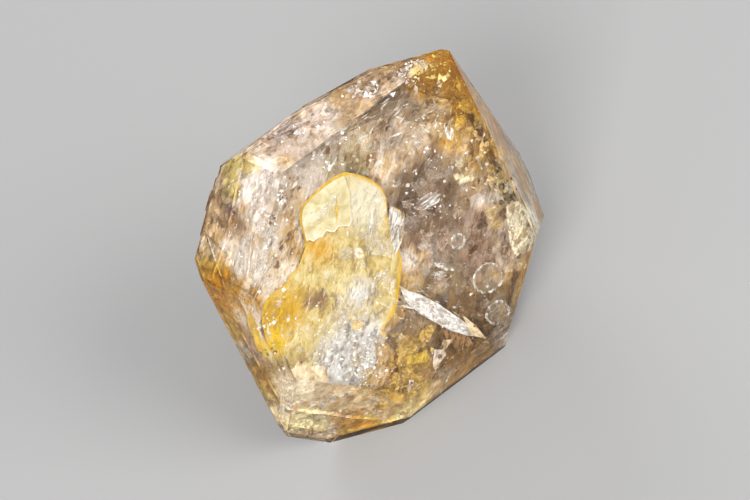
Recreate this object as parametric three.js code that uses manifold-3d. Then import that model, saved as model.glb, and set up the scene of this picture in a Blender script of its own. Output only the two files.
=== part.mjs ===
// A doubly terminated quartz crystal of the Herkimer kind, lying on one of its end faces.
//
// Quartz grows six prism faces round its long (c) axis and six sloping faces at each end. Their
// angles are fixed by nature; only their distances from the heart of the crystal differ, and
// those distances give this crystal its lopsided outline. Units are millimetres, +Z is up.

import * as THREE from 'three';
import { ConvexGeometry } from 'three/addons/geometries/ConvexGeometry.js';
import { mergeVertices } from 'three/addons/utils/BufferGeometryUtils.js';
import Module from 'manifold-3d';

const wasm = await Module();
wasm.setup();

// ---- Driving dimensions -------------------------------------------------------------------

// Angle between the c axis and the pole of an end face, fixed for quartz.
const END_FACE_POLE = 51.79;
const SIDE_STEP = 60;

// Distance of each face from the heart of the crystal, going round the c axis in 60 degree steps.
const PRISM = [27.5, 28.6, 12.1, 29.7, 28.8, 21.4];
const UPPER_END = [28.4, 31.5, 35.0, 30.4, 33.7, 16.4];
const LOWER_END = [25.9, 28.6, 24.2, 30.9, 25.2, 22.0];

// Two minor faces: pole azimuth round the c axis, pole angle from it, distance from the heart.
const MINOR = {
  bevel: [146, 111.8, 23.5],
  shoulder: [321.2, 59.1, 16.3],
};

// The crystal lies on this lower end face, turned by REST_TURN about the vertical.
const REST_FACE = 4;
const REST_TURN = 30.9;

// Growth layers. Each is the whole habit again with one face pushed out by its rise and others
// drawn in, so that every ledge is bounded by true crystal faces. Numbers are changes in mm, and
// the faces that a layer doesn't name are drawn in by its turn in the list times LAYER_MARGIN.
const LAYER_MARGIN = 0.08;
const GROWTH_LAYERS = [
  { prism5: 0.35, upper5: -1.6, lower5: -2.4 },
  { prism5: 0.7, upper5: -3.0, lower5: -4.4, prism4: -1.5 },
  { prism4: 0.3, lower4: -2.2, upper3: -1.2 },
  { prism4: 0.55, lower4: -5.5, upper3: -2.6, prism3: -1.0 },
  { prism0: 0.3, upper0: -1.4, lower0: -2.6 },
  { prism0: 0.6, upper0: -2.8, lower0: -5.2, shoulder: -1.2 },
  { upper5: 0.35, shoulder: -2.5, prism4: -3.5, upper4: -2.0, prism5: -1.8 },
  { upper5: 0.7, shoulder: -4.8, prism4: -8.0, upper4: -4.0, prism5: -3.6 },
  { shoulder: 0.3, upper5: -1.4, prism0: -5.0, upper0: -2.0 },
  { shoulder: 0.6, upper5: -2.2, prism0: -11.0, upper0: -3.5, upper1: -2.0 },
  { lower5: 0.35, prism5: -1.0, lower0: -3.0, lower4: -1.6 },
  { lower5: 0.65, prism5: -2.0, lower0: -8.5, lower4: -4.4 },
  { lower0: 0.3, prism0: -2.5, lower5: -2.2, lower1: -2.0 },
  { lower0: 0.6, prism0: -5.5, lower5: -5.0, lower1: -5.0 },
];

// Small shell-shaped chips: the two faces whose edge is chipped, how far along the edge, the
// radius of the hollow and how deep it bites below the edge.
const CHIPS = [
  ['upper5', 'shoulder', 0.3, 3.4, 0.3],
  ['upper5', 'prism5', 0.7, 2.8, 0.3],
  ['prism4', 'upper5', 0.55, 2.6, 0.25],
  ['prism0', 'shoulder', 0.4, 3.0, 0.3],
  ['lower5', 'lower0', 0.62, 3.6, 0.3],
  ['prism3', 'lower3', 0.5, 2.4, 0.25],
  ['lower1', 'lower2', 0.9, 2.0, 0.2],
  ['upper3', 'prism4', 0.25, 2.4, 0.25],
  ['lower0', 'lower1', 0.35, 2.6, 0.2],
];
const CHIP_DETAIL = 10;

const QUARTZ_COLOUR = 0xe3cfae;

// ---- Faces --------------------------------------------------------------------------------

const radians = THREE.MathUtils.degToRad;

// The outward direction of a face, from its azimuth round +Z and its angle from +Z.
function pole(azimuth, angle) {
  const around = radians(azimuth);
  const down = radians(angle);
  return new THREE.Vector3(
    Math.sin(down) * Math.cos(around),
    Math.sin(down) * Math.sin(around),
    Math.cos(down),
  );
}

function habitFaces() {
  const faces = {};
  for (let side = 0; side < 6; side += 1) {
    const azimuth = side * SIDE_STEP;
    faces[`prism${side}`] = { normal: pole(azimuth, 90), distance: PRISM[side] };
    faces[`upper${side}`] = { normal: pole(azimuth, END_FACE_POLE), distance: UPPER_END[side] };
    faces[`lower${side}`] = { normal: pole(azimuth, 180 - END_FACE_POLE), distance: LOWER_END[side] };
  }
  for (const [name, [azimuth, angle, distance]] of Object.entries(MINOR)) {
    faces[name] = { normal: pole(azimuth, angle), distance };
  }
  return faces;
}

const FACES = habitFaces();
const ON_FACE = 1e-6;

// The point where three faces meet, or null where two of them are parallel.
function meetingPoint(a, b, c) {
  const normals = new THREE.Matrix3().set(
    a.normal.x, a.normal.y, a.normal.z,
    b.normal.x, b.normal.y, b.normal.z,
    c.normal.x, c.normal.y, c.normal.z,
  );
  if (Math.abs(normals.determinant()) < ON_FACE) return null;
  return new THREE.Vector3(a.distance, b.distance, c.distance).applyMatrix3(normals.invert());
}

// All corners of the solid that a set of faces encloses.
function corners(faces) {
  const list = Object.values(faces);
  const found = [];
  for (let i = 0; i < list.length; i += 1) {
    for (let j = i + 1; j < list.length; j += 1) {
      for (let k = j + 1; k < list.length; k += 1) {
        const point = meetingPoint(list[i], list[j], list[k]);
        const inside = point && list.every((f) => f.normal.dot(point) < f.distance + ON_FACE);
        if (inside) found.push(point);
      }
    }
  }
  return found;
}

// ---- Solids -------------------------------------------------------------------------------

function toSolid(geometry) {
  const bare = geometry.clone();
  bare.deleteAttribute('normal');
  bare.deleteAttribute('uv');
  const merged = mergeVertices(bare, 1e-5);
  return new wasm.Manifold(new wasm.Mesh({
    numProp: 3,
    vertProperties: new Float32Array(merged.attributes.position.array),
    triVerts: new Uint32Array(merged.index.array),
  }));
}

function toGeometry(solid) {
  const mesh = solid.getMesh();
  const geometry = new THREE.BufferGeometry();
  geometry.setAttribute('position', new THREE.BufferAttribute(mesh.vertProperties, 3));
  geometry.setIndex(new THREE.BufferAttribute(mesh.triVerts, 1));
  return geometry;
}

// The habit with some face distances changed by the given amounts, and the rest by a margin.
function habit(changes = {}, margin = 0) {
  const faces = {};
  for (const [name, face] of Object.entries(FACES)) {
    faces[name] = { normal: face.normal, distance: face.distance + (changes[name] ?? -margin) };
  }
  return toSolid(new ConvexGeometry(corners(faces)));
}

// A point part of the way along the edge that two faces share.
function pointOnEdge(nameA, nameB, share) {
  const [a, b] = [FACES[nameA], FACES[nameB]];
  const ends = corners(FACES).filter((p) => (
    Math.abs(a.normal.dot(p) - a.distance) < 1e-4 && Math.abs(b.normal.dot(p) - b.distance) < 1e-4
  ));
  const along = new THREE.Vector3().crossVectors(a.normal, b.normal);
  ends.sort((p, q) => along.dot(p) - along.dot(q));
  return ends[0].clone().lerp(ends[ends.length - 1], share);
}

function chip([nameA, nameB, share, radius, bite]) {
  const outward = FACES[nameA].normal.clone().add(FACES[nameB].normal).normalize();
  const centre = pointOnEdge(nameA, nameB, share).addScaledVector(outward, radius - bite);
  const hollow = new THREE.IcosahedronGeometry(radius, CHIP_DETAIL);
  return toSolid(hollow.translate(centre.x, centre.y, centre.z));
}

function grownCrystal() {
  const layers = GROWTH_LAYERS.map((changes, turn) => habit(changes, (turn + 1) * LAYER_MARGIN));
  const layered = layers.reduce((body, layer) => body.add(layer), habit());
  return CHIPS.reduce((body, place) => body.subtract(chip(place)), layered);
}

// ---- Resting place ------------------------------------------------------------------------

// Turns the rest face down and puts the middle of the outline's base at the origin.
function laidDown(geometry) {
  geometry.rotateZ(radians(-REST_FACE * SIDE_STEP));
  geometry.rotateY(radians(END_FACE_POLE));
  geometry.rotateZ(radians(REST_TURN));
  geometry.computeBoundingBox();
  const { min, max } = geometry.boundingBox;
  return geometry.translate(-(min.x + max.x) / 2, -(min.y + max.y) / 2, -min.z);
}

const quartz = new THREE.MeshStandardMaterial({ color: QUARTZ_COLOUR, roughness: 0.05, metalness: 0 });
const crystal = new THREE.Mesh(laidDown(toGeometry(grownCrystal())), quartz);
crystal.name = 'quartz_crystal';

const group = new THREE.Group();
group.add(crystal);

export default group;
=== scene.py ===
"""Looks of a Herkimer quartz crystal: clear faces over veils, iron stain and small inner cracks."""

import math
import random

import bpy
from mathutils import Matrix, Vector


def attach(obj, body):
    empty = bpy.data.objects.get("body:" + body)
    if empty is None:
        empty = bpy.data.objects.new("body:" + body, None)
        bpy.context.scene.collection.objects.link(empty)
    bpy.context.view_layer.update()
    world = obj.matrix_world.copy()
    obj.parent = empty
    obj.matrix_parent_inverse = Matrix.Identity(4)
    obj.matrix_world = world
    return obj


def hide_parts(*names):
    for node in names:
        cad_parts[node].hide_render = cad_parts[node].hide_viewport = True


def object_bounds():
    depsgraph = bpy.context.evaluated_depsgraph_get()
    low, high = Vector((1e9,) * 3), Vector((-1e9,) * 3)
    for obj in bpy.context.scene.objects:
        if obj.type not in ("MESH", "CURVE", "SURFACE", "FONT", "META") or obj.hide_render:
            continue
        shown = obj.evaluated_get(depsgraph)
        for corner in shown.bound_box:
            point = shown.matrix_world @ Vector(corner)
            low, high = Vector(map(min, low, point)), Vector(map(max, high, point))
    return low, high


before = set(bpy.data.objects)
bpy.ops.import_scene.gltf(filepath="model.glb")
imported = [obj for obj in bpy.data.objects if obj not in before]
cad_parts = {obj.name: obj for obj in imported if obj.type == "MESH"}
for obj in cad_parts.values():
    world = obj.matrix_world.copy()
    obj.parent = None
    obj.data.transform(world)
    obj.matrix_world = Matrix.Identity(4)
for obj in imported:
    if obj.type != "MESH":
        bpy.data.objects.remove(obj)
cad_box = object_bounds()

MM = 0.001
CAD_NODE = "quartz_crystal"
BODY = "root"
QUARTZ_IOR = 1.544
CLEAR_OF_FACES = 0.4  # mm that the inner pieces keep from the crystal's faces
LONG_AXIS = Vector((0.674, 0.403, 0.619))  # the way that the prism's edges run
LAYER_RISE = 0.7  # mm by which growth layers stand on some faces
LEAST_WALL = 12  # mm2 of the smallest face that counts as a wall
SAME_LEVEL = 0.01  # mm within which parallel faces are one level
SAME_WAY = 0.9999  # cosine above which two faces look the same way
WELD = 0.002  # mm within which corners are one
FLAT_ANGLE = 0.5  # degrees below which triangles make one flat face
EDGE_ANGLE = 12  # degrees from which an edge is softened
EDGE_WIDTH = 0.12  # mm of the fine bevel that softens it
FLOOR_GAP = 0.05  # mm of air under the face that the crystal rests on

# ---- where the crystal is seen from

VIEW_ELEVATION = math.radians(51.74)
VIEW_ROLL = math.radians(-28.06)
VIEW_DISTANCE = 1.0908  # metres
VIEW_AIM = Vector((-0.6, 0.5, 24.2)) * MM
LENS = 288.0
SENSOR = 36.0

VIEW_TURN = Matrix.Rotation(math.pi / 2 - VIEW_ELEVATION, 3, "X") @ Matrix.Rotation(VIEW_ROLL, 3, "Z")
VIEW_RIGHT = VIEW_TURN.col[0]
VIEW_UP = VIEW_TURN.col[1]
VIEW_BACK = VIEW_TURN.col[2]
VIEW_EYE = VIEW_AIM + VIEW_DISTANCE * VIEW_BACK


def add_camera():
    """A long lens looking down on the big prism face."""
    bpy.ops.object.camera_add(location=VIEW_EYE)
    camera = bpy.context.object
    camera.name = "camera"
    camera.rotation_euler = VIEW_TURN.to_euler()
    camera.data.lens = LENS
    camera.data.sensor_width = SENSOR
    camera.data.clip_start = 0.01
    camera.data.clip_end = 10.0
    bpy.context.scene.camera = camera


# ---- modelling helpers


def clear_selection():
    if bpy.context.mode != "OBJECT":
        bpy.ops.object.mode_set(mode="OBJECT")
    bpy.ops.object.select_all(action="DESELECT")


def pick(piece):
    clear_selection()
    piece.select_set(True)
    bpy.context.view_layer.objects.active = piece


def edit_all(piece):
    pick(piece)
    bpy.ops.object.mode_set(mode="EDIT")
    bpy.ops.mesh.select_all(action="SELECT")


def settle(piece):
    """The piece's place goes into its mesh."""
    pick(piece)
    bpy.ops.object.transform_apply(location=True, rotation=True, scale=True)


def join(pieces, name):
    clear_selection()
    for piece in pieces:
        piece.select_set(True)
    bpy.context.view_layer.objects.active = pieces[0]
    if len(pieces) > 1:
        bpy.ops.object.join()
    whole = bpy.context.object
    whole.name = name
    whole.data.name = name
    return whole


def apply_modifier(piece, modifier):
    pick(piece)
    bpy.ops.object.modifier_apply(modifier=modifier.name)


def make_material(name):
    """A new material; returns it with its node tree and Principled shader."""
    material = bpy.data.materials.new(name)
    material.use_nodes = True
    tree = material.node_tree
    return material, tree, tree.nodes["Principled BSDF"]


def dress(piece, material, angle=None):
    piece.data.materials.clear()
    piece.data.materials.append(material)
    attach(piece, BODY)
    if angle is not None:
        pick(piece)
        bpy.ops.object.shade_smooth_by_angle(angle=math.radians(angle))


# ---- the crystal's faces

CLEAR = (1.0, 0.985, 0.955)
AMBER_FILM = (0.88, 0.65, 0.1)
SMOKE = (0.98, 0.84, 0.48)
SMOKE_DENSITY = 14.0
FILM_WAVER = 14  # mm by which the film's edge wanders
IRON_SKIN = {
    # name: (x, y, radius) of amber film on the faces
    "tip": (13.5, 34.5, 7.5),
    "upper_edge": (17.5, 28, 6.5),
    "middle_edge": (22.3, 21, 8),
    "right_edge": (26.5, 13.5, 7),
    "right_corner": (29.8, 7, 4.5),
    "left_foot": (-30, -6, 7),
    "left_shin": (-26, -14, 6),
    "left_toe": (-21, -24, 6),
    "foot": (-1, -33, 7),
}


def clear_quartz():
    """Clear quartz, with a thin amber film of iron on some of its edges."""
    material, tree, shader = make_material("clear_quartz")
    place = object_place(tree)
    wisps = clouds(tree, place, 5.0, 4.0, 0.6, 0.8)
    colour = CLEAR
    for x, y, radius in IRON_SKIN.values():
        far = wavering_distance(tree, place, seen_at(x, y, 0), wisps, FILM_WAVER)
        colour = mix(tree, spread(tree, far, radius * MM, radius / 2 * MM), colour, AMBER_FILM)
    tree.links.new(colour, shader.inputs["Base Color"])
    shader.inputs["Roughness"].default_value = 0.0
    shader.inputs["IOR"].default_value = QUARTZ_IOR
    shader.inputs["Transmission Weight"].default_value = 1.0
    absorb = tree.nodes.new("ShaderNodeVolumeAbsorption")
    absorb.inputs["Color"].default_value = (*SMOKE, 1)
    absorb.inputs["Density"].default_value = SMOKE_DENSITY
    tree.links.new(absorb.outputs["Volume"], tree.nodes["Material Output"].inputs["Volume"])
    return material


def crystal_faces():
    """A copy of the crystal with its loose triangles merged to whole faces."""
    pick(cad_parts[CAD_NODE])
    bpy.ops.object.duplicate()
    faces = bpy.context.object
    faces.name = "crystal_faces"
    for key in [k for k in faces.keys() if k.startswith("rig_")]:
        del faces[key]
    faces.parent = None
    edit_all(faces)
    bpy.ops.mesh.remove_doubles(threshold=WELD * MM)
    bpy.ops.mesh.dissolve_limited(angle_limit=math.radians(FLAT_ANGLE))
    bpy.ops.object.mode_set(mode="OBJECT")
    return faces


def soften_edges(faces):
    """A fine bevel along every edge; the faces then stand for the CAD node."""
    bevel = faces.modifiers.new("edges", "BEVEL")
    bevel.width = EDGE_WIDTH * MM
    bevel.segments = 2
    bevel.limit_method = "ANGLE"
    bevel.angle_limit = math.radians(EDGE_ANGLE)
    bevel.use_clamp_overlap = True
    apply_modifier(faces, bevel)
    dress(faces, clear_quartz(), angle=8)
    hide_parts(CAD_NODE)


def face_walls(faces):
    """Each large face's direction, its reach under the growth layers, and its full reach."""
    levels = []
    for polygon in faces.data.polygons:
        normal = polygon.normal.copy()
        reach = normal.dot(faces.data.vertices[polygon.vertices[0]].co)
        if polygon.area < LEAST_WALL * MM * MM:
            continue
        for level in levels:
            if level[0].dot(normal) > SAME_WAY:
                level[1].append(reach)
                break
        else:
            levels.append((normal, [reach]))
    walls = []
    for normal, reaches in levels:
        outer = max(reaches)
        stepped = outer - min(reaches) > SAME_LEVEL * MM
        walls.append((normal, outer - LAYER_RISE * MM * stepped, outer))
    return walls


# ---- places inside the crystal


def sight_line(x, y):
    return (VIEW_AIM + (x * VIEW_RIGHT + y * VIEW_UP) * MM - VIEW_EYE).normalized()


def entry_face(sight):
    """The wall by which a sight line enters, with how far off that is."""
    best = None
    for wall in WALLS:
        facing = wall[0].dot(sight)
        if facing >= 0:
            continue
        distance = (wall[2] - wall[0].dot(VIEW_EYE)) / facing
        if best is None or distance > best[0]:
            best = (distance, wall)
    return best[1]


def seen_at(x, y, depth, face=None):
    """The place that shows x mm right and y mm up of the view's middle, depth mm under a face."""
    sight = sight_line(x, y)
    normal, _, reach = face or entry_face(sight)
    distance = (reach - normal.dot(VIEW_EYE)) / normal.dot(sight)
    facing = -normal.dot(sight)
    ratio = 1 / QUARTZ_IOR
    inside = math.sqrt(1 - ratio**2 * (1 - facing**2))
    bent = ratio * sight + (ratio * facing - inside) * normal
    return VIEW_EYE + distance * sight + bent * (depth * MM / inside)


def cut_off(piece, wall, margin):
    """Takes off what lies nearer to a wall than margin mm."""
    normal, reach, _ = wall
    edit_all(piece)
    bpy.ops.mesh.bisect(plane_co=normal * (reach - margin * MM), plane_no=normal, clear_outer=True)
    bpy.ops.object.mode_set(mode="OBJECT")


def trim_to_crystal(piece):
    """Cuts off what would come through a face."""
    for wall in WALLS:
        cut_off(piece, wall, CLEAR_OF_FACES)


# ---- finishes of the inner pieces

STAINS = {
    # name: (x, y, depth under the face, radius, colour)
    "tip": (12, 33, 3, 12, (0.52, 0.26, 0.0)),
    "white_brow": (6, 33, 1, 5, (0.95, 0.84, 0.78)),
    "tan_brow": (-1, 28, 2, 8, (0.4, 0.26, 0.14)),
    "pink_brow": (-14, 21, 3, 9, (0.68, 0.55, 0.48)),
    "upper_right": (13, 21, 5, 8, (0.62, 0.48, 0.27)),
    "right_edge": (22, 20, 3, 9, (0.72, 0.5, 0.18)),
    "amber_edge": (22.3, 22, 1, 6, (0.5, 0.27, 0.0)),
    "amber_rim": (26.2, 14, 1, 5, (0.5, 0.27, 0.0)),
    "amber_corner": (29.3, 8, 1, 4, (0.55, 0.3, 0.02)),
    "smoke": (9, 7, 9, 10, (0.25, 0.15, 0.09)),
    "upper_smoke": (10, 15, 7, 8, (0.27, 0.17, 0.1)),
    "lilac": (18, 0, 8, 9, (0.26, 0.165, 0.115)),
    "upper_left": (-9, 17, 6, 10, (0.6, 0.52, 0.48)),
    "olive": (-4, 16, 6, 7, (0.34, 0.29, 0.16)),
    "left_corner": (-22, 12, 3, 8, (0.78, 0.7, 0.66)),
    "lemon": (-25, 14, 1, 5, (0.58, 0.45, 0.12)),
    "left": (-29, 5, 2, 7, (0.6, 0.4, 0.19)),
    "white_left": (-19.5, -3, 3, 8, (1.0, 0.97, 0.95)),
    "plum": (-26.5, 7, 1, 4, (0.28, 0.17, 0.13)),
    "left_foot": (-28, -8, 2, 7, (0.6, 0.32, 0.0)),
    "brown_shin": (-22, -17, 2, 5, (0.46, 0.3, 0.18)),
    "low_shin": (-21, -22, 1, 4, (0.54, 0.31, 0.0)),
    "toe": (-19, -23, 3, 6, (0.42, 0.23, 0.0)),
    "heel": (-15.5, -31, 2, 5, (1.0, 0.82, 0.48)),
    "pale_foot": (-11, -30, 3, 6, (1.0, 0.92, 0.54)),
    "foot": (-3, -31, 3, 7, (0.7, 0.38, 0.03)),
    "foot_middle": (-3, -25, 3, 6, (0.86, 0.66, 0.36)),
    "foot_left": (-13, -25, 3, 6, (1.0, 0.9, 0.68)),
    "foot_gold": (5, -26, 3, 6, (0.78, 0.48, 0.06)),
    "foot_right": (6, -29, 2, 6, (1.0, 0.84, 0.44)),
    "up_middle": (3, 22, 5, 8, (0.36, 0.29, 0.23)),
    "lower_right": (6, -22, 6, 9, (0.58, 0.37, 0.04)),
    "deep_smoke": (12, 6, 19, 12, (0.27, 0.17, 0.1)),
    "deep_rust": (15, -15, 17, 11, (0.17, 0.075, 0.01)),
    "rust": (15.5, -16, 6, 11, (0.1, 0.04, 0.0)),
    "right_rust": (21, -9, 5, 7, (0.18, 0.09, 0.02)),
    "bevel": (18, -21, 1, 8, (0.44, 0.24, 0.03)),
    "rim": (27, -4, 2, 6, (0.56, 0.3, 0.03)),
    "right": (28, 3.5, 2, 6, (1.0, 0.95, 0.76)),
}
BACK_STAINS = {
    # name: (x, y, z, radius, colour)
    "under": (2, -4, 2, 13, (0.42, 0.24, 0.07)),
    "back_foot": (-14, 20, 6, 13, (0.58, 0.32, 0.04)),
    "back_milk": (6, 21, 30, 14, (0.8, 0.75, 0.72)),
    "back_smoke": (20, 14, 14, 11, (0.36, 0.27, 0.22)),
    "back_amber": (26, 6, 38, 10, (0.6, 0.35, 0.05)),
    "left_milk": (-28, 10, 22, 11, (0.78, 0.7, 0.66)),
    "left_rust": (-24, -2, 4, 9, (0.4, 0.22, 0.06)),
}


def feed(tree, sockets, values):
    """Gives each socket its value, or links it to the socket that the value comes from."""
    for socket, value in zip(sockets, values):
        if isinstance(value, bpy.types.NodeSocket):
            tree.links.new(value, socket)
        elif socket.type == "RGBA":
            socket.default_value = (*value, 1)
        else:
            socket.default_value = value


def math_node(tree, operation, *values):
    node = tree.nodes.new("ShaderNodeMath")
    node.operation = operation
    feed(tree, node.inputs, values)
    return node.outputs["Value"]


def vector_math(tree, operation, *values):
    node = tree.nodes.new("ShaderNodeVectorMath")
    node.operation = operation
    feed(tree, node.inputs, values)
    return node.outputs["Value" if operation == "DISTANCE" else "Vector"]


def object_place(tree, along=None, stretch=1.0, shift=(0, 0, 0)):
    """A pattern's coordinates, moved by shift and drawn out to stretch times along one way."""
    coordinates = tree.nodes.new("ShaderNodeTexCoord")
    mapping = tree.nodes.new("ShaderNodeMapping")
    mapping.vector_type = "TEXTURE"
    mapping.inputs["Location"].default_value = shift
    if along is not None:
        mapping.inputs["Rotation"].default_value = along.to_track_quat("Z", "Y").to_euler()
        mapping.inputs["Scale"].default_value = (1, 1, stretch)
    tree.links.new(coordinates.outputs["Object"], mapping.inputs["Vector"])
    return mapping.outputs["Vector"]


def clouds(tree, place, size, detail, roughness, distortion, output="Fac"):
    """Noise with lumps of about size mm."""
    noise = tree.nodes.new("ShaderNodeTexNoise")
    noise.inputs["Scale"].default_value = 1 / (size * MM)
    noise.inputs["Detail"].default_value = detail
    noise.inputs["Roughness"].default_value = roughness
    noise.inputs["Distortion"].default_value = distortion
    tree.links.new(place, noise.inputs["Vector"])
    return noise.outputs[output]


def spread(tree, value, low, high, to_low=0.0, to_high=1.0):
    """Stretches low..high of a value to to_low..to_high, held at both ends."""
    node = tree.nodes.new("ShaderNodeMapRange")
    node.interpolation_type = "SMOOTHSTEP"
    feed(tree, node.inputs, (value, low, high, to_low, to_high))
    return node.outputs["Result"]


def ramp(tree, value, stops):
    """Colours along a value; stops are (place, colour)."""
    node = tree.nodes.new("ShaderNodeValToRGB")
    while len(node.color_ramp.elements) < len(stops):
        node.color_ramp.elements.new(0.5)
    for element, (place, colour) in zip(node.color_ramp.elements, stops):
        element.position = place
        element.color = (*colour, 1)
    tree.links.new(value, node.inputs["Fac"])
    return node.outputs["Color"]


def mix(tree, share, first, second):
    node = tree.nodes.new("ShaderNodeMix")
    node.data_type = "RGBA"
    feed(tree, [s for s in node.inputs if s.enabled], (share, first, second))
    return next(s for s in node.outputs if s.enabled)


def rim_mask(tree):
    """How much of its rim colour a drawn sheet has."""
    rim = tree.nodes.new("ShaderNodeAttribute")
    rim.attribute_name = "rim"
    return rim.outputs["Fac"]


def surface(tree, shader, colour, cover, roughness, metal=0.0):
    """A finish's colour, and how far it hides what lies behind it."""
    sockets = [shader.inputs[name] for name in ("Base Color", "Alpha", "Roughness", "Metallic")]
    feed(tree, sockets, (colour, cover, roughness, metal))


# Filters from the darkest parts of a veil to its lightest.
DARK_SHADES = (
    (0.37, (0.39, 0.25, 0.12)),
    (0.44, (0.81, 0.7, 0.57)),
    (0.52, (1.1, 1.09, 1.07)),
    (0.62, (1.3, 1.3, 1.3)),
)
SOFT_SHADES = (
    (0.36, (0.56, 0.44, 0.3)),
    (0.44, (0.82, 0.74, 0.64)),
    (0.52, (0.98, 0.96, 0.93)),
    (0.62, (1.1, 1.1, 1.1)),
)
# Lift for the veils' lightest mottles: milky white, and painted glints.
MILK_AND_GLINT_GAIN = (1.35, 1.35, 1.35)
MILK_AND_GLINT_LIFT = (0.12, 0.12, 0.12)
SEED_SHIFT = Vector((0.13, 0.07, 0.05))  # metres by which each seed moves a veil's pattern
THICK_ALPHA = 0.75
CLEARING_ALPHA = 0.2
CLEARING_WAVER = 10  # mm by which a clearing's edge wanders
STAIN_WAVER = 14  # mm by which a stain's edge wanders
STAIN_GRAIN = 5  # mm between the edge's bays
STAIN_CORE = 0.45  # share of a stain's radius that has its full colour


def paled_with_glint(tree, colour):
    """A milkier kind of the colour: white becomes whiter, amber golden and brown tan. It gives the veils'
    milky flecks and their painted glints.
    """
    return vector_math(tree, "MULTIPLY_ADD", colour, MILK_AND_GLINT_GAIN, MILK_AND_GLINT_LIFT)


def wavering_distance(tree, place, point, noise, waver):
    """The distance to a point, moved in and out by a noise that is a half on the whole."""
    far = vector_math(tree, "DISTANCE", place, point)
    far = math_node(tree, "MULTIPLY_ADD", noise, waver * MM, far)
    return math_node(tree, "SUBTRACT", far, waver / 2 * MM)


def stained(tree, colour, strength=0.9):
    """Lays the crystal's stains over a colour, each with a ragged edge."""
    place = object_place(tree)
    ragged = clouds(tree, place, STAIN_GRAIN, 5.0, 0.5, 0.0, "Color")
    waver = Vector((1, 1, 1)) * STAIN_WAVER * MM
    shifted = vector_math(tree, "MULTIPLY_ADD", ragged, waver, place)
    spots = [(seen_at(x, y, depth), radius, stain) for x, y, depth, radius, stain in STAINS.values()]
    spots += [(Vector((x, y, z)) * MM, radius, stain) for x, y, z, radius, stain in BACK_STAINS.values()]
    for spot, radius, stain in spots:
        far = vector_math(tree, "DISTANCE", shifted, spot + waver / 2)
        share = spread(tree, far, radius * MM, radius * STAIN_CORE * MM, 0.0, strength)
        colour = mix(tree, share, colour, stain)
    return colour


def bumped(tree, shader, height, distance, strength=0.8):
    bump = tree.nodes.new("ShaderNodeBump")
    bump.inputs["Strength"].default_value = strength
    bump.inputs["Distance"].default_value = distance * MM
    tree.links.new(height, bump.inputs["Height"])
    tree.links.new(bump.outputs["Normal"], shader.inputs["Normal"])


def splinters(tree, place, size):
    """A random number for each angular cell of about size mm."""
    cells = tree.nodes.new("ShaderNodeTexVoronoi")
    cells.inputs["Scale"].default_value = 1 / (size * MM)
    tree.links.new(place, cells.inputs["Vector"])
    parts = tree.nodes.new("ShaderNodeSeparateColor")
    tree.links.new(cells.outputs["Color"], parts.inputs["Color"])
    return parts.outputs["Red"]


def veil_finish(name, tones, cover, lump, seed, clearings, thick, milk_and_glint, shades):
    """Healed cracks: mottling of every size and drawn-out wisps that thin out to clear quartz; the lightest
    mottles are milky white with painted glints.
    """
    material, tree, shader = make_material(name)
    shift = SEED_SHIFT * seed
    place = object_place(tree, LONG_AXIS, 1.7, shift)
    drawn = object_place(tree, LONG_AXIS, 5.0, shift)
    elsewhere = object_place(tree, LONG_AXIS, 1.4, shift * 2)
    mottle = clouds(tree, place, lump * 6.0, 6.0, 0.68, 0.9)
    wisps = clouds(tree, drawn, lump * 1.5, 4.0, 0.62, 0.0)
    gaps = clouds(tree, elsewhere, lump * 7.0, 5.0, 0.62, 1.2)
    tone = math_node(tree, "MULTIPLY", splinters(tree, place, lump * 0.6), 0.12)
    tone = math_node(tree, "MULTIPLY_ADD", splinters(tree, elsewhere, lump * 1.6), 0.12, tone)
    tone = math_node(tree, "MULTIPLY_ADD", wisps, 0.22, tone)
    tone = math_node(tree, "MULTIPLY_ADD", mottle, 0.54, tone)
    colour = ramp(tree, gaps, ((0.38, tones[2]), (0.5, tones[1]), (0.62, tones[0])))
    colour = stained(tree, colour)
    pale = paled_with_glint(tree, colour)
    colour = vector_math(tree, "MULTIPLY", colour, ramp(tree, tone, shades))
    # The lightest mottles take the paler colour: milky white flecks, and painted glints.
    colour = mix(tree, spread(tree, tone, 0.54, 0.63, 0.0, milk_and_glint), colour, pale)
    edge = 0.5 + (0.5 - cover) * 0.4
    lace = math_node(tree, "MULTIPLY_ADD", tone, 0.5, math_node(tree, "MULTIPLY", gaps, 0.5))
    alpha = spread(tree, lace, edge - 0.08, edge + 0.07)
    plain = object_place(tree)
    for x, y, depth, radius in clearings:
        far = wavering_distance(tree, plain, seen_at(x, y, depth), gaps, CLEARING_WAVER)
        clear = spread(tree, far, radius / 2 * MM, radius * MM, CLEARING_ALPHA, 1.0)
        alpha = math_node(tree, "MULTIPLY", alpha, clear)
    for x, y, radius in thick:
        far = vector_math(tree, "DISTANCE", plain, seen_at(x, y, 1))
        milk = spread(tree, far, radius * MM, radius / 2 * MM, 0.0, THICK_ALPHA)
        alpha = math_node(tree, "MAXIMUM", alpha, milk)
    surface(tree, shader, colour, alpha, 0.25)
    shader.inputs["Specular IOR Level"].default_value = 0.25
    bumped(tree, shader, wisps, 1.0, 0.9)
    return material


# ---- veils

SHEET_SIZE = 90  # mm, so that an untrimmed sheet reaches past every face
SHEET_CUTS = 48
HILL_SIZE = 14  # mm


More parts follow.
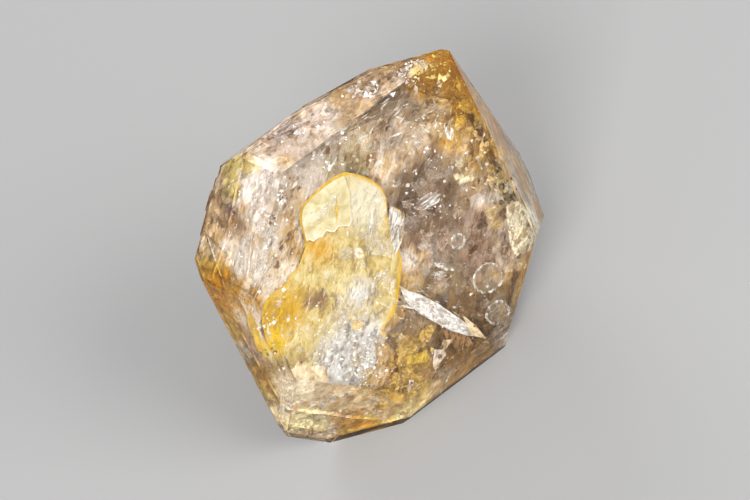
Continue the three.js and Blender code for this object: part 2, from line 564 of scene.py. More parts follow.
def wavy_sheet(name, place, normal, wave):
    """A sheet across the crystal, bulged by low hills, trimmed to the faces."""
    bpy.ops.mesh.primitive_grid_add(
        x_subdivisions=SHEET_CUTS,
        y_subdivisions=SHEET_CUTS,
        size=SHEET_SIZE * MM,
        location=place,
        rotation=normal.to_track_quat("Z", "Y").to_euler(),
    )
    sheet = bpy.context.object
    sheet.name = name
    settle(sheet)
    hills = bpy.data.textures.new(name, "CLOUDS")
    hills.noise_scale = HILL_SIZE * MM
    hills.noise_depth = 2
    lift = sheet.modifiers.new("hills", "DISPLACE")
    lift.texture = hills
    lift.texture_coords = "GLOBAL"
    lift.strength = wave * MM
    lift.mid_level = 0.5
    apply_modifier(sheet, lift)
    trim_to_crystal(sheet)
    return sheet


# Painted shade: the two deepest body veils take these darker tones, so that the crystal reads dark in its
# depth.
SHADED_DEEP_TONES = ((0.26, 0.16, 0.07), (0.44, 0.31, 0.16), (0.68, 0.56, 0.4))
NEAR_TONES = ((0.5, 0.33, 0.13), (0.66, 0.52, 0.36), (0.78, 0.7, 0.66))
BODY_VEILS = (
    # depth under the big face, cover, tones, lump, wave
    (7.5, 0.8, NEAR_TONES, 1.0, 2.5),
    (13, 0.65, SHADED_DEEP_TONES, 1.3, 5),
    (20, 0.95, SHADED_DEEP_TONES, 1.6, 5),
)
SMOKE_CLEARINGS = (
    # x, y, depth under the face, radius of what is nearly clear
    (10, 9, 7, 10),
    (13, -7, 7, 8),
    (6, -15, 7, 5),
    (16, -15, 7, 7),
    (21, -10, 6, 6),
)
SIDE_CLEARINGS = (
    (-18, -13, 3, 7),
    (-19, -17, 3, 6),
    (16, -15, 4, 7),
    (21, -9, 4, 6),
)
MILKY = (
    # x, y, radius of where the veils are thick and milky
    (-13, 18, 9),
    (-21, 10, 8),
    (-5, 26, 7),
    (-21, -1, 7),
    (-27, 4, 6),
)
FACE_VEILS = (
    # name, depth under a face, cover, wave, lean, depth under the big face where it stops, thick places
    ("skin_veils", 0.9, 0.58, 0.7, 0.0, 0.4, tuple(IRON_SKIN.values())),
    ("near_veils", 3.2, 0.7, 3.0, 0.05, 5.5, MILKY),
)
LEANS = ((0.4, 0.2, 0.3), (-1.0, 1.6, -0.5), (0.5, -1.2, 1.4))


def veils():
    """Milky veils: some deep under the big face, the deepest two darkened by painted shade, and two close
    under each of the other faces.
    """
    for turn, (depth, cover, tones, lump, wave) in enumerate(BODY_VEILS):
        place = seen_at(0, 0, depth, BIG_FACE)
        normal = (BIG_FACE[0] + Vector(LEANS[turn]) * 0.1).normalized()
        sheet = wavy_sheet(f"body_veil_{turn}", place, normal, wave)
        clearings, thick = ((), ()) if turn else (SMOKE_CLEARINGS, MILKY)
        seed = turn + 1
        finish = veil_finish(sheet.name, tones, cover, lump, seed, clearings, thick, 0.6, DARK_SHADES)
        dress(sheet, finish, angle=60)
    for kind, (name, depth, cover, wave, lean, short, thick) in enumerate(FACE_VEILS):
        sheets = []
        for turn, wall in enumerate(WALLS):
            if wall is BIG_FACE:
                continue
            normal, reach, _ = wall
            middle = CRYSTAL_MIDDLE + normal * (reach - CRYSTAL_MIDDLE.dot(normal) - depth * MM)
            leant = (normal + Vector(LEANS[turn % 3]) * lean).normalized()
            sheet = wavy_sheet(f"{name}_{turn}", middle, leant, wave)
            cut_off(sheet, BIG_FACE, short)
            sheets.append(sheet)
        seed = 7 + kind
        finish = veil_finish(name, NEAR_TONES, cover, 1.0, seed, SIDE_CLEARINGS, thick, 0.85, SOFT_SHADES)
        dress(join(sheets, name), finish, angle=60)


# ---- cracks drawn by their outline

ISLAND = (
    # x, y, how golden the rim is there
    (-13.1, 8.2, 0.9), (-11, 10.4, 1), (-9.1, 12.2, 1), (-7.3, 13.4, 0.8), (-5.5, 14.2, 0.7),
    (-3.1, 13.8, 0.7), (-0.9, 12.9, 0.8), (1.1, 11.5, 0.8), (2, 9.6, 0.6), (2.3, 6.4, 0.5),
    (3.1, 2.7, 0.5), (4.2, 0.6, 0.8), (4.9, -1.8, 1), (4.8, -4.2, 1), (4.5, -6.4, 1),
    (4.3, -8.8, 0.9), (3.8, -10.9, 1), (3, -12.4, 0.9), (2, -13.6, 0.5), (1, -15.6, 0.2),
    (0, -17.3, 0.1), (0.2, -19.6, 0), (-0.2, -21.8, 0), (-1.2, -23.6, 0), (-2.7, -25, 0),
    (-5.4, -25.6, 0), (-8.2, -26.5, 0), (-13.6, -25.8, 0), (-17, -23.3, 0.3), (-18.3, -20.4, 0.8),
    (-19.6, -17.3, 1), (-20.5, -13.6, 1), (-20.6, -11.2, 1), (-20, -9.5, 0.9), (-18.9, -8, 0.9),
    (-17.8, -7.3, 0.8), (-16.2, -6.2, 0.7), (-15.5, -4.5, 0.6), (-14.1, -3.4, 0.6), (-13.6, -2.2, 0.5),
    (-12.7, 0.5, 0.6), (-12.9, 2.4, 0.8), (-13.6, 4.5, 0.8), (-13.8, 6.4, 0.8),
)
ISLAND_DEPTH = 6.0
ISLAND_RIM = 1.1
ISLAND_WAVER = 10  # mm by which a tint's edge wanders
RIM_GOLD = (0.74, 0.45, 0.004)
YELLOW_STAIN = ((0.38, (0.5, 0.34, 0.07)), (0.5, (0.66, 0.52, 0.2)), (0.62, (0.8, 0.72, 0.44)))
# Grey to bluish white: the crack's pale colour with a painted silvery sheen.
SILVER_SHEEN = ((0.4, (0.4, 0.35, 0.32)), (0.5, (0.7, 0.69, 0.71)), (0.57, (0.9, 0.96, 1.0)))
ISLAND_TINTS = (
    # x, y, radius of the full tint, radius where it ends, tint (None is the silvery tint, pale with a painted
    # sheen)
    (-1, 9, 3, 8, (0.78, 0.73, 0.55)),
    (-3, -20, 5, 11, None),
    (-3, -8, 0, 5, None),
    (-17, -11, 2, 8, (0.62, 0.36, 0.0)),
    (-10.5, 0.5, 0.5, 4.5, (0.66, 0.36, 0.02)),
    (-11.3, -9.2, 0, 3, (0.3, 0.17, 0.07)),
    (-19.5, -17, 1, 5, (0.8, 0.52, 0.0)),
)
WINDOW_RIM = 0.5
WINDOW_MILK = ((0.35, (0.74, 0.62, 0.28)), (0.55, (0.82, 0.76, 0.5)), (0.7, (0.9, 0.87, 0.74)))
WINDOW = (
    # x, y, how white the rim is there
    (-12.8, 8.0, 0.2), (-11.1, 9.8, 0.2), (-9.0, 11.6, 0.2), (-7.2, 12.8, 0.2), (-5.6, 13.5, 0.2),
    (-4.6, 10.5, 0.3), (-4.5, 7.5, 0.6), (-4.2, 5.2, 1.0), (-4.7, 4.3, 1.0), (-5.6, 4.4, 1.0),
    (-6.7, 4.2, 1.0), (-7.3, 3.3, 1.0), (-8.1, 3.3, 1.0), (-8.9, 3.5, 1.0), (-9.6, 2.4, 1.0),
    (-10.3, 2.3, 1.0), (-11.2, 1.5, 1.0), (-11.9, 1.9, 1.0), (-12.4, 1.6, 0.9), (-12.8, 3.0, 0.6),
    (-13.2, 4.8, 0.3), (-13.3, 6.6, 0.2),
)


def drawn_sheet(name, outline, depth, face=None, rim=0.0, cuts=2):
    """A flat crack of the given outline, extruded point by point and filled, with a rim inset in it."""
    points = [seen_at(point[0], point[1], depth, face) for point in outline]
    bpy.ops.mesh.primitive_plane_add(size=MM, location=points[0])
    sheet = bpy.context.object
    sheet.name = name
    settle(sheet)
    edit_all(sheet)
    bpy.ops.mesh.merge(type="CENTER")
    for previous, point in zip(points, points[1:]):
        bpy.ops.mesh.extrude_region_move(TRANSFORM_OT_translate={"value": point - previous})
    bpy.ops.mesh.select_all(action="SELECT")
    bpy.ops.mesh.edge_face_add()
    if rim:
        bpy.ops.mesh.inset(thickness=rim * MM, depth=0)
        bpy.ops.object.mode_set(mode="OBJECT")
        mask = sheet.data.attributes.new("rim", "FLOAT", "POINT")
        for vertex in sheet.data.vertices:
            at_rim = vertex.index < len(outline)
            mask.data[vertex.index].value = outline[vertex.index][2] if at_rim else 0.0
        edit_all(sheet)
    bpy.ops.mesh.quads_convert_to_tris(quad_method="BEAUTY", ngon_method="BEAUTY")
    bpy.ops.mesh.subdivide(number_cuts=cuts)
    bpy.ops.object.mode_set(mode="OBJECT")
    return sheet


def island_finish():
    """Iron stain: golden to pale yellow, silvery towards the foot with a painted sheen, gold along the rim.
    """
    material, tree, shader = make_material("iron_stained_crack")
    place = object_place(tree)
    drawn = object_place(tree, LONG_AXIS, 1.8)
    fine = clouds(tree, drawn, 0.8, 4.0, 0.62, 0.8)
    broad = clouds(tree, drawn, 3.0, 4.0, 0.55, 1.0)
    tone = math_node(tree, "MULTIPLY_ADD", fine, 0.45, math_node(tree, "MULTIPLY", broad, 0.55))
    colour = ramp(tree, tone, YELLOW_STAIN)
    silver_sheen = ramp(tree, tone, SILVER_SHEEN)
    for x, y, full, end, tint in ISLAND_TINTS:
        far = wavering_distance(tree, place, seen_at(x, y, ISLAND_DEPTH), broad, ISLAND_WAVER)
        share = spread(tree, far, full * MM, end * MM, 1.0, 0.0)
        colour = mix(tree, share, colour, tint or silver_sheen)
    edge = spread(tree, math_node(tree, "MULTIPLY_ADD", broad, 0.8, rim_mask(tree)), 0.5, 1.15)
    colour = mix(tree, edge, colour, RIM_GOLD)
    alpha = spread(tree, tone, 0.4, 0.5, 0.75, 1.0)
    surface(tree, shader, colour, math_node(tree, "MAXIMUM", alpha, edge), 0.25)
    bumped(tree, shader, tone, 1.0)
    return material


def window_finish():
    """Yellowish milk with a white ragged rim."""
    material, tree, shader = make_material("milky_window")
    place = object_place(tree)
    fine = clouds(tree, place, 2.5, 6.0, 0.6, 0.5)
    colour = ramp(tree, fine, WINDOW_MILK)
    colour = mix(tree, spread(tree, rim_mask(tree), 0.3, 1.0), colour, (0.98, 0.97, 0.93))
    surface(tree, shader, colour, spread(tree, fine, 0.3, 0.6, 0.7, 0.95), 0.25)
    bumped(tree, shader, fine, 0.3)
    return material


def stained_crack():
    """The yellow crack under the big face, golden along its rim, with a milky window at its head."""
    island = drawn_sheet("stained_crack", ISLAND, ISLAND_DEPTH, BIG_FACE, ISLAND_RIM)
    dress(island, island_finish())
    window = drawn_sheet("milky_window", WINDOW, ISLAND_DEPTH - 0.4, BIG_FACE, WINDOW_RIM)
    dress(window, window_finish())


# ---- loose plates and flakes


def plate_shape(name, corners, dome, seed):
    """One thin curved plate of unit size, its rim uneven."""
    bpy.ops.mesh.primitive_circle_add(vertices=corners, radius=1.0, fill_type="NGON")
    plate = bpy.context.object
    plate.name = name
    edit_all(plate)
    bpy.ops.mesh.poke(offset=dome)
    bpy.ops.mesh.select_all(action="SELECT")
    bpy.ops.transform.vertex_random(offset=0.35, uniform=0.3, normal=0.1, seed=seed)
    bpy.ops.object.mode_set(mode="OBJECT")
    return plate


LOOSE_MARGIN = 0.6  # mm between a loose plate and the faces


def inside(point, margin):
    return all(normal.dot(point) < reach - margin * MM for normal, reach, _ in WALLS)


def scattered(name, shapes, places):
    """A copy of a shape, with its own mesh, at each place; all joined in one piece."""
    copies = []
    for turn, (place, rotation, size) in enumerate(places):
        shape = shapes[turn % len(shapes)]
        copy = shape.copy()
        copy.data = shape.data.copy()
        copy.location = place
        copy.rotation_euler = rotation
        copy.scale = [s * MM for s in size]
        bpy.context.collection.objects.link(copy)
        copies.append(copy)
    for shape in shapes:
        bpy.data.objects.remove(shape)
    whole = join(copies, name)
    settle(whole)
    return whole


def loose_places(count, sizes, seed, normal, lean):
    """Random places in the whole crystal, where plates lie more or less square to a normal."""
    dice = random.Random(seed)
    low, high = cad_box
    places = []
    while len(places) < count:
        point = Vector([dice.uniform(a, b) for a, b in zip(low, high)])
        size = dice.uniform(0, 1) ** 2 * (sizes[1] - sizes[0]) + sizes[0]
        if not inside(point, size + LOOSE_MARGIN):
            continue
        facing = normal + Vector([dice.gauss(0, 1) for _ in range(3)]) * lean
        spin = Matrix.Rotation(dice.uniform(0, 6.3), 3, "Z").to_quaternion()
        turn = facing.to_track_quat("Z", "Y") @ spin
        stretch = dice.uniform(0.2, 0.8)
        places.append((point, turn.to_euler(), (size, size * stretch, size)))
    return places


def aligned(long_way, facing):
    """The turn that lays a plate along a face, with its X as near as can be to one way."""
    z = facing.normalized()
    y = z.cross(long_way).normalized()
    x = y.cross(z)
    return Matrix((x, y, z)).transposed().to_euler()


def cluster_places(middle, reach, count, sizes, seed, lean=0.5, stretch=(0.3, 0.9), fan=None):
    """Places round a seen point. A fan gives the heading of splinters in the view and its sway."""
    dice = random.Random(seed)
    places = []
    while len(places) < count:
        x, y, depth = (m + dice.gauss(0, 0.5) * r for m, r in zip(middle, reach))
        size = sizes[0] + (sizes[1] - sizes[0]) * dice.random() ** 2
        room = CLEAR_OF_FACES + size * min(lean, 0.7)
        point = seen_at(x, y, max(depth, room))
        if not inside(point, room):
            continue
        tilt = Vector([dice.gauss(0, 0.5) for _ in range(3)]) * lean
        facing = entry_face(sight_line(x, y))[0] + tilt
        if fan is None:
            angle = dice.uniform(0, math.tau)
        else:
            angle = math.radians(fan[0]) + dice.gauss(0, fan[1])
        long_way = math.cos(angle) * VIEW_RIGHT + math.sin(angle) * VIEW_UP
        places.append((point, aligned(long_way, facing), (size, size * dice.uniform(*stretch), size)))
    return places


PEARL = ((0.36, (0.72, 0.62, 0.5)), (0.5, (0.92, 0.88, 0.84)), (0.58, (1.0, 1.0, 1.0)))
# Each group of pieces is scattered by a seed of its own; clusters add their turn to it.
CRACK_SEED = 11
FLAKE_SEED = 12
CLUSTER_SEED = 20
STREAK_SEED = 60
GRAIN_SEED = 80
JUMBLE_SEED = 100


def plate_finish(name, metal, roughness, thin, thick, stain=0.0):
    """Pearly cracks whose cover goes from thin to thick."""
    material, tree, shader = make_material(name)
    place = object_place(tree)
    broad = clouds(tree, place, 3.0, 2.0, 0.5, 0.0)
    fine = clouds(tree, place, 0.5, 6.0, 0.65, 0.5)
    colour = ramp(tree, broad, PEARL)
    if stain:
        colour = stained(tree, colour, stain)
    surface(tree, shader, colour, spread(tree, fine, 0.38, 0.6, thin, thick), roughness, metal)
    bumped(tree, shader, fine, 0.2, 0.5)
    return material


def inner_cracks():
    """Small pale healed cracks all through the crystal."""
    shapes = [plate_shape(f"plate_{turn}", 4 + turn % 2, 0.06, turn) for turn in range(4)]
    places = loose_places(360, (0.8, 3.2), CRACK_SEED, BIG_FACE[0], 0.45)
    plates = scattered("inner_cracks", shapes, places)
    dress(plates, plate_finish("pale_crack", 0.1, 0.25, 0.05, 0.45, stain=0.7), angle=40)


MIRROR_CLUSTERS = (
    # middle (x, y, depth), reach, count, sizes
    ((-2.5, -20.5, 4), (5, 7, 3), 420, (0.12, 0.55)),
    ((-2.5, -19.5, 3), (3, 4, 2), 200, (0.15, 0.6)),
    ((-6, -16, 4), (7, 9, 3), 200, (0.1, 0.5)),
    ((-20, 10.5, 1.2), (4.5, 5, 1), 240, (0.15, 0.75)),
    ((-25, 8, 1.2), (5, 7, 1), 120, (0.12, 0.6)),
    ((-12, 18, 1.8), (22, 7, 2), 240, (0.1, 0.6)),
    ((-12, 21.5, 1), (6, 2, 1), 120, (0.2, 0.8)),
    ((-2, 29, 1), (4, 1.5, 1), 90, (0.2, 0.8)),
    ((-23, -1, 1.5), (6, 8, 1.5), 200, (0.1, 0.6)),
    ((7, 33, 0.8), (5, 3, 1), 120, (0.2, 0.9)),
    ((8.5, 22.5, 2), (3, 3, 2), 50, (0.1, 0.45)),
    ((17, 3, 4), (13, 16, 5), 420, (0.05, 0.22)),
    ((9.5, 8, 5), (4, 3, 2), 50, (0.08, 0.35)),
    ((8, -21, 4), (10, 9, 4), 140, (0.08, 0.4)),
    ((-3, -31, 1.5), (14, 5, 2), 220, (0.1, 0.5)),
    ((-21, -18, 1.5), (6, 10, 1.5), 120, (0.1, 0.5)),
    ((18, 18, 3), (9, 10, 3), 160, (0.1, 0.4)),
)
STREAK_FANS = (
    # middle, reach, count, sizes, heading in degrees and its sway in radians
    ((-20.5, -2, 1.8), (5, 12, 1.5), 90, (0.6, 2.8), (72, 0.12)),
    ((-28.5, -2, 1.2), (3, 9, 1), 50, (0.6, 2.6), (66, 0.12)),
    ((-21, 9, 1.2), (8, 9, 1), 70, (0.4, 1.5), (60, 0.4)),
    ((13, 26, 3.5), (5, 8, 3), 50, (0.3, 1.3), (95, 0.4)),
    ((18, 20, 4.5), (5, 8, 3), 40, (0.3, 1.3), (125, 0.4)),
    ((6, 24, 4), (8, 6, 3), 50, (0.3, 1.4), (40, 0.4)),
    ((-8, 24, 1.5), (14, 6, 1.5), 80, (0.3, 1.6), (35, 0.3)),
    ((-1, 2, 5.2), (4, 12, 1), 40, (0.6, 2.4), (82, 0.2)),
    ((-6, -10, 5.2), (8, 12, 1), 60, (0.4, 1.8), (78, 0.3)),
    ((8, -9, 5), (8, 4, 2), 40, (0.5, 2), (148, 0.2)),
)


def bright_flakes():
    """Tiny cracks that mirror the light, crowded where the crystal glitters most."""
    shapes = [plate_shape(f"flake_{turn}", 3 + turn % 2, 0.1, turn) for turn in range(3)]
    places = loose_places(700, (0.12, 0.6), FLAKE_SEED, BIG_FACE[0], 0.6)
    for turn, (middle, reach, count, sizes) in enumerate(MIRROR_CLUSTERS):
        places += cluster_places(middle, reach, count, sizes, CLUSTER_SEED + turn)
    flakes = scattered("bright_flakes", shapes, places)
    dress(flakes, plate_finish("bright_flake", 0.4, 0.2, 0.9, 1.0), angle=40)


def white_streaks():
    """Long splinters that lie side by side in fans."""
    shapes = [plate_shape(f"streak_{turn}", 4, 0.05, 40 + turn) for turn in range(3)]
    places = []
    for turn, (middle, reach, count, sizes, fan) in enumerate(STREAK_FANS):
        seed = STREAK_SEED + turn
        places += cluster_places(middle, reach, count, sizes, seed, 0.35, (0.04, 0.2), fan)
    streaks = scattered("white_streaks", shapes, places)
    dress(streaks, plate_finish("white_streak", 0.3, 0.3, 0.4, 0.95), angle=40)


# ---- single marks inside

BLADE = (
    (4.4, -6.4), (6.2, -7.5), (8.5, -8.2), (11.6, -9.8), (15.6, -12.6), (20.2, -15.9),
    (17, -15.6), (13.6, -14.6), (11, -13.2), (8.2, -11.6), (5.6, -9.4),
)
TAN_WEDGE = ((15.9, -11.8), (18.4, -13.8), (20.3, -16.2), (17.4, -15.4))
CREAM_PATCH = (
    (23.9, 8.2), (26, 9), (27.6, 7.2), (28.2, 3.6),
    (27.4, 0.4), (25.6, -1.4), (24.6, 1), (24, 4.6),
)
SILVER_LOBE = (
    # x, y, how golden the rim is there
    (2.6, 8.2, 0.3), (4.4, 7.4, 0.9), (5.4, 6.6, 1), (5.3, 3.6, 1), (4.8, 1, 0.6), (3.6, -1, 0),
    (2.9, 1.6, 0), (2.5, 5, 0),
)
LOBE_RIM = (0.78, 0.45, 0.03)


def crack_finish(name, dark, light, alpha, metal, stretch=1.8, along=None, rim_colour=None):
    """A mottled crack, at least alpha thick, its pattern drawn out along one way."""
    material, tree, shader = make_material(name)
    place = object_place(tree, along or LONG_AXIS, stretch)
    fine = clouds(tree, place, 0.6, 4.0, 0.65, 0.5)
    colour = ramp(tree, fine, ((0.36, dark), (0.56, light)))
    if rim_colour is not None:
        colour = mix(tree, spread(tree, rim_mask(tree), 0.2, 0.9), colour, rim_colour)
    surface(tree, shader, colour, spread(tree, fine, 0.4, 0.62, alpha, 1.0), 0.25, metal)
    bumped(tree, shader, fine, 0.5)
    return material


def blade_cracks():
    """A bright blade beside the stained crack, its tan wedge, a cream patch and a silvery lobe."""
    down_right = VIEW_RIGHT * 0.83 - VIEW_UP * 0.55
    blade = drawn_sheet("bright_blade", BLADE, 5.0, BIG_FACE)
    finish = crack_finish("blade", (0.58, 0.52, 0.44), (0.96, 0.96, 0.98), 0.7, 0.0, 5.0, down_right)
    dress(blade, finish)
    wedge = drawn_sheet("tan_wedge", TAN_WEDGE, 4.6, BIG_FACE)
    finish = crack_finish("wedge", (0.62, 0.42, 0.2), (0.9, 0.76, 0.52), 0.85, 0.0, 5.0, down_right)
    dress(wedge, finish)
    patch = drawn_sheet("cream_patch", CREAM_PATCH, 2.2, BIG_FACE, cuts=4)
    finish = crack_finish("patch", (0.5, 0.36, 0.18), (0.94, 0.84, 0.6), 0.3, 0.0, 2.0)
    dress(patch, finish)
    lobe = drawn_sheet("silver_lobe", SILVER_LOBE, 5.6, BIG_FACE, 0.5)
    finish = crack_finish("lobe", (0.42, 0.37, 0.32), (0.92, 0.9, 0.88), 0.45, 0.2, 3.0, None, LOBE_RIM)
    dress(lobe, finish)


FEATHERS = (
    # x, y, length, width, heading in degrees and depth of a ragged white crack
    (9.6, 8.8, 5.4, 2.6, 32, 4.2),
    (13.6, 21.5, 3.2, 1.8, 100, 2.5),
    (-7.5, 21.5, 5, 1.6, 20, 1.6),
    (-8, 16, 4, 1.8, 70, 3),
    (-21, 12, 6.5, 2.4, 118, 1.2),
    (-24.5, 1, 6, 2, 75, 1.2),
    (12.6, -3, 4, 1.2, 160, 4),
    (6.5, -26, 3.6, 1.6, 60, 3),
    (-2.5, -22, 5, 3.2, 70, 4.8),
)


# Corners of a feather, in halves of its length and of its width.
FRAYED = (
    (-1, 0.1), (-0.6, 0.8), (0.1, 1), (0.7, 0.7), (1, -0.1), (0.6, -0.9), (-0.2, -0.8), (-0.7, -0.6),
)


def feather_cracks():
    """Ragged white cracks that fray out along their length."""
    for turn, (x, y, length, width, heading, depth) in enumerate(FEATHERS):
        along = Vector((math.cos(math.radians(heading)), math.sin(math.radians(heading))))
        across = Vector((-along.y, along.x))
        outline = [
            Vector((x, y)) + along * length * a / 2 + across * width * b / 2 for a, b in FRAYED
        ]
        name = f"feather_{turn}"
        lie = VIEW_RIGHT * along.x + VIEW_UP * along.y
        finish = crack_finish(name, (0.66, 0.6, 0.58), (1.0, 1.0, 1.0), 0.0, 0.1, 5.0, lie)
        dress(drawn_sheet(name, outline, depth, cuts=4), finish)


SHARDS = (
    # name, dark colour, light colour, and each shard's depth and outline
    ("cream_shards", (0.52, 0.38, 0.26), (0.96, 0.84, 0.72), (
        (2.4, ((10.8, -18.2), (12.6, -17.9), (12.9, -19.1), (11.8, -20.6), (10.9, -22.1), (10.5, -20.6))),
        (1.6, ((6.2, -23.6), (7, -23.6), (7.4, -27), (5.8, -27.2))),
    )),
    ("tan_shards", (0.42, 0.28, 0.12), (0.8, 0.62, 0.38), (
        (2.8, ((12.4, -16.4), (14.2, -16.2), (13, -17.9), (11.8, -18.5))),
        (1.6, ((13.2, -21.1), (13.8, -22.4), (12.1, -26.1), (10.9, -25.6))),
        (1.6, ((8.5, -23), (9.5, -24.2), (10.6, -27), (9.5, -27.3))),
    )),
    ("gold_shards", (0.46, 0.27, 0.01), (0.74, 0.5, 0.05), (
        (2.6, ((9.5, -14.2), (10.3, -14.1), (8.8, -15.8), (7.7, -16.5))),
        (2.8, ((5.9, -19.4), (9.4, -18.2), (9.7, -20.3), (5.8, -20.8))),
    )),
    ("rust_shards", (0.12, 0.05, 0.01), (0.4, 0.21, 0.07), (
        (5.6, ((11.6, -13.2), (16.7, -14.8), (17.9, -17.3), (15.5, -19.1), (13, -16.1))),
        (2, ((9.7, -21.2), (11.2, -22.4), (10, -23.6), (7, -22.4))),
    )),
)


def stained_shards():
    """Single angular cracks low in the crystal, each in one stain."""
    for name, dark, light, shards in SHARDS:
        sheets = [
            drawn_sheet(f"{name}_{turn}", outline, depth)
            for turn, (depth, outline) in enumerate(shards)
        ]
        dress(join(sheets, name), crack_finish(name, dark, light, 0.65, 0.1, 3.0))


LINES = {
    # name: x and y of both ends, width, depth, dark colour, light colour
    "left_line": (-31, 4.2, -27.1, -7.6, 0.16, 0.7, (0.9, 0.84, 0.76), (1, 1, 1)),
    "second_line": (-22.3, 3.5, -23.6, -9.5, 0.16, 0.7, (0.9, 0.84, 0.76), (1, 1, 1)),
    "pale_sliver": (-17.2, -24.5, -16.4, -33, 0.5, 0.8, (0.78, 0.66, 0.5), (0.96, 0.88, 0.76)),
    "foot_line": (-8.7, -26.2, -8.5, -33.5, 0.14, 0.8, (0.62, 0.38, 0.1), (0.9, 0.7, 0.36)),
    "right_line": (14, -21.5, 12, -26.2, 0.16, 0.8, (0.6, 0.44, 0.18), (0.96, 0.86, 0.62)),
    "window_line": (-7, 9.8, -6.9, 4.6, 0.3, 5.4, (0.78, 0.5, 0.05), (0.86, 0.6, 0.1)),
    "needle": (-0.9, -26.6, 3.3, -23.6, 0.36, 3, (0.07, 0.04, 0.02), (0.26, 0.17, 0.1)),
}


def line_cracks():
    """Straight contact lines and one dark needle."""
    for name, (x0, y0, x1, y1, width, depth, dark, light) in LINES.items():
        across = Vector((y0 - y1, x1 - x0)).normalized() * width
        middle = Vector((x0 + x1, y0 + y1)) / 2
        outline = ((x0, y0), middle + across, (x1, y1), middle - across)
        line = drawn_sheet(name, outline, depth, cuts=6)
        dress(line, crack_finish(name, dark, light, 0.6, 0.0, 1.0))


BUBBLES = (
    # x, y, depth, radius
    (20.5, -5.1, 4.5, 2.8),
    (22.3, -11.4, 4.5, 2.2),
    (15.1, 1.6, 6, 1.3),
)


def bubble_finish():
    """Clear where it faces the eye, frosted round the rim."""
    material, tree, shader = make_material("bubble_skin")
    place = object_place(tree)
    fine = clouds(tree, place, 1.2, 3.0, 0.6, 0.3)
    gloss = tree.nodes.new("ShaderNodeLayerWeight")
    gloss.inputs["Blend"].default_value = 0.35
    rim = spread(tree, gloss.outputs["Facing"], 0.25, 0.95, 0.07, 0.7)
    frost = spread(tree, fine, 0.35, 0.6, 0.5, 1.0)
    surface(tree, shader, (0.84, 0.77, 0.62), math_node(tree, "MULTIPLY", rim, frost), 0.15, 0.2)
    bumped(tree, shader, fine, 0.3, 0.4)
    return material


def bubble_cracks():
    """Round healed cracks, each a frosted ring with a thin clear skin across it."""
    rings = []
    skins = []
    turn_to_face = BIG_FACE[0].to_track_quat("Z", "Y").to_euler()
    for turn, (x, y, depth, radius) in enumerate(BUBBLES):
        place = seen_at(x, y, depth, BIG_FACE)
        bpy.ops.mesh.primitive_torus_add(
            location=place, rotation=turn_to_face, major_radius=radius * MM, minor_radius=0.2 * MM,
            major_segments=48, minor_segments=6,
        )
        ring = bpy.context.object
        edit_all(ring)
        bpy.ops.transform.vertex_random(offset=0.3 * MM, seed=turn)
        settle(ring)
        rings.append(ring)
        bpy.ops.mesh.primitive_uv_sphere_add(
            segments=32, ring_count=12, radius=radius * MM, location=place, rotation=turn_to_face
        )
        skin = bpy.context.object
        skin.scale = (1, 1, 0.35)
        settle(skin)
        skins.append(skin)
    pearl = crack_finish("bubble_ring", (0.62, 0.54, 0.44), (1.0, 0.99, 0.96), 0.0, 0.1)
    dress(join(rings, "bubble_rings"), pearl, angle=50)
    dress(join(skins, "bubble_skins"), bubble_finish(), angle=50)


GRAIN_CLUSTERS = (
    # name, middle, reach, count, sizes, dark colour, light colour
    ("cream_crystals", (15.6, 13.2, 3), (1.6, 4, 1), 6, (0.5, 1.1), (0.72, 0.55, 0.28), (0.98, 0.9, 0.66)),
    ("olive_specks", (24.4, 11.6, 3), (2.6, 5, 1), 26, (0.2, 0.7), (0.05, 0.035, 0.012), (0.22, 0.16, 0.06)),
    ("toe_specks", (-20, -23, 2), (2, 4, 1), 14, (0.15, 0.45), (0.06, 0.04, 0.008), (0.3, 0.22, 0.03)),
    ("grey_specks", (-22, -19.5, 1.2), (1.4, 4, 0.6), 9, (0.15, 0.45), (0.09, 0.07, 0.05), (0.3, 0.25, 0.18)),
    ("bevel_specks", (17, -20.6, 1.2), (10, 6, 0.6), 30, (0.12, 0.4), (0.06, 0.03, 0.012), (0.3, 0.16, 0.06)),
    ("foot_specks", (0, -26, 2), (9, 3, 1), 24, (0.12, 0.5), (0.1, 0.04, 0.01), (0.4, 0.2, 0.04)),
)


def grain_shape(name, seed):
    """A small blocky crystal."""
    bpy.ops.mesh.primitive_cube_add(size=2.0, location=(0, 0, 0))
    grain = bpy.context.object
    grain.name = name
    edit_all(grain)
    bpy.ops.mesh.bevel(offset=0.35, segments=1)
    bpy.ops.transform.vertex_random(offset=0.3, seed=seed)
    bpy.ops.object.mode_set(mode="OBJECT")
    return grain


def grains():
    """Small solid crystals and dark specks shut in the quartz."""
    for turn, (name, middle, reach, count, sizes, dark, light) in enumerate(GRAIN_CLUSTERS):
        shapes = [grain_shape(f"grain_{turn}_{kind}", kind + turn) for kind in range(2)]
        places = cluster_places(middle, reach, count, sizes, GRAIN_SEED + turn, 1.0, (0.5, 1.0))
        finish = crack_finish(name, dark, light, 1.0, 0.0, 1.0)
        dress(scattered(name, shapes, places), finish, angle=30)


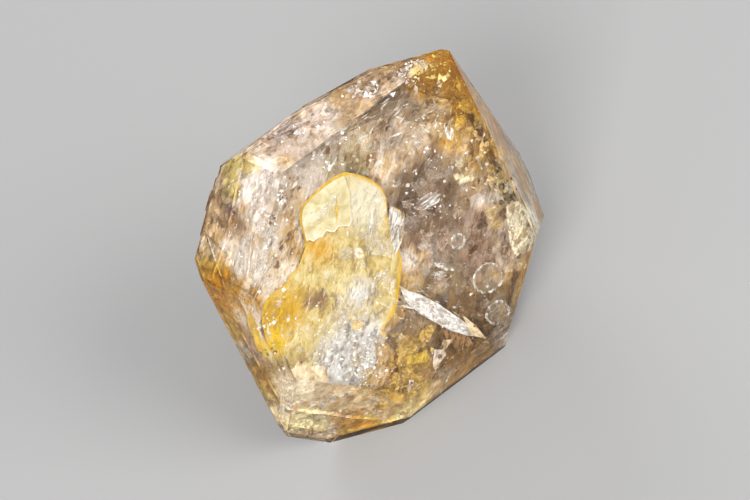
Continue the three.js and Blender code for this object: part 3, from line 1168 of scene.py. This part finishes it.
JUMBLES = (
    # name, middle, reach, count, sizes, dark colour, light colour
    ("amber_jumble", (0, -31, 3), (15, 5, 3), 60, (0.6, 2.6), (0.42, 0.18, 0.02), (0.8, 0.52, 0.12)),
    ("lower_jumble", (5, -21, 5), (10, 9, 4), 80, (0.5, 2.6), (0.42, 0.22, 0.03), (0.88, 0.62, 0.18)),
    ("edge_jumble", (25, 14, 3), (5, 14, 2), 30, (0.5, 2), (0.3, 0.17, 0.03), (0.74, 0.52, 0.18)),
    ("left_jumble", (-27, -12, 3), (6, 12, 3), 30, (0.5, 2), (0.45, 0.22, 0.02), (0.8, 0.54, 0.16)),
    ("rust_jumble", (17, -14.5, 8), (10, 7, 2), 70, (0.5, 2), (0.1, 0.05, 0.015), (0.36, 0.2, 0.07)),
    ("cream_jumble", (27, 4, 2), (3, 7, 1), 26, (0.5, 1.8), (0.62, 0.52, 0.34), (0.96, 0.9, 0.7)),
    ("smoke_jumble", (12, 5, 7), (12, 15, 3), 90, (0.4, 2), (0.26, 0.16, 0.1), (0.62, 0.48, 0.38)),
    ("upper_gold", (17, 27, 2.5), (3, 6, 1.5), 14, (0.5, 2.2), (0.58, 0.36, 0.06), (0.95, 0.7, 0.28)),
    ("middle_gold", (20.3, 20, 2.5), (3, 6, 1.5), 14, (0.5, 2.2), (0.58, 0.36, 0.08), (0.95, 0.72, 0.34)),
    ("lower_gold", (24.3, 12, 2.5), (3, 6, 1.5), 14, (0.5, 2.2), (0.52, 0.36, 0.12), (0.92, 0.74, 0.42)),
)


def glass_finish(name, dark, light):
    """Thin stained cracks that show what is behind them."""
    material, tree, shader = make_material(name)
    place = object_place(tree)
    fine = clouds(tree, place, 0.7, 5.0, 0.65, 0.6)
    broad = clouds(tree, place, 4.0, 3.0, 0.55, 0.6)
    tone = math_node(tree, "MULTIPLY_ADD", fine, 0.5, math_node(tree, "MULTIPLY", broad, 0.5))
    colour = ramp(tree, tone, ((0.38, dark), (0.6, light)))
    surface(tree, shader, colour, spread(tree, fine, 0.35, 0.65, 0.25, 0.8), 0.2)
    bumped(tree, shader, fine, 0.3, 0.5)
    return material


def jumbles():
    """Crowded angular cracks, stained by iron."""
    for turn, (name, middle, reach, count, sizes, dark, light) in enumerate(JUMBLES):
        shapes = [plate_shape(f"{name}_{kind}", 4 + kind, 0.05, kind + turn) for kind in range(3)]
        places = cluster_places(middle, reach, count, sizes, JUMBLE_SEED + turn, 0.6, (0.25, 0.8))
        dress(scattered(name, shapes, places), glass_finish(name, dark, light), angle=40)


# ---- the set

FLOOR_SIZE = 3.0  # metres
FLOOR_COLOUR = (0.46, 0.455, 0.45)
SKY_COLOUR = (0.95, 0.97, 1.0)
SKY_STRENGTH = 0.48
LAMPS = (
    # name, place and size in metres, power in watts
    ("key", (-0.35, -0.6, 0.72), (0.4, 0.4), 4.9),
    ("fill", (0.55, -0.45, 0.62), (0.5, 0.5), 4.3),
    ("rim", (-0.1, 0.9, 0.3), (0.6, 0.45), 4.4),
)


def add_floor():
    bpy.ops.mesh.primitive_plane_add(size=FLOOR_SIZE, location=(0, 0, -FLOOR_GAP * MM))
    floor = bpy.context.object
    floor.name = "floor"
    material, tree, shader = make_material("pale_floor")
    shader.inputs["Base Color"].default_value = (*FLOOR_COLOUR, 1)
    shader.inputs["Roughness"].default_value = 0.85
    floor.data.materials.append(material)


def add_light(name, place, size, power):
    """A soft box that looks at the crystal."""
    bpy.ops.object.light_add(type="AREA", location=place)
    light = bpy.context.object
    light.name = name
    light.data.shape = "RECTANGLE"
    light.data.size, light.data.size_y = size
    light.data.energy = power
    aim = (VIEW_AIM - Vector(place)).to_track_quat("-Z", "Y")
    light.rotation_euler = aim.to_euler()


def add_lights():
    world = bpy.data.worlds.new("studio")
    world.use_nodes = True
    sky = world.node_tree.nodes["Background"]
    sky.inputs["Color"].default_value = (*SKY_COLOUR, 1)
    sky.inputs["Strength"].default_value = SKY_STRENGTH
    bpy.context.scene.world = world
    for lamp in LAMPS:
        add_light(*lamp)


def set_tones():
    scene = bpy.context.scene
    scene.view_settings.view_transform = "Standard"
    scene.cycles.transparent_max_bounces = 32
    scene.cycles.max_bounces = 16
    scene.cycles.glossy_bounces = 10
    scene.cycles.transmission_bounces = 12
    scene.cycles.diffuse_bounces = 2


add_camera()
faces = crystal_faces()
WALLS = face_walls(faces)
CRYSTAL_MIDDLE = (Vector(cad_box[0]) + Vector(cad_box[1])) / 2
BIG_FACE = max(WALLS, key=lambda wall: wall[0].dot(VIEW_BACK))
soften_edges(faces)
faces.visible_shadow = False
veils()
stained_crack()
inner_cracks()
bright_flakes()
white_streaks()
blade_cracks()
feather_cracks()
stained_shards()
line_cracks()
bubble_cracks()
grains()
jumbles()
add_floor()
add_lights()
set_tones()
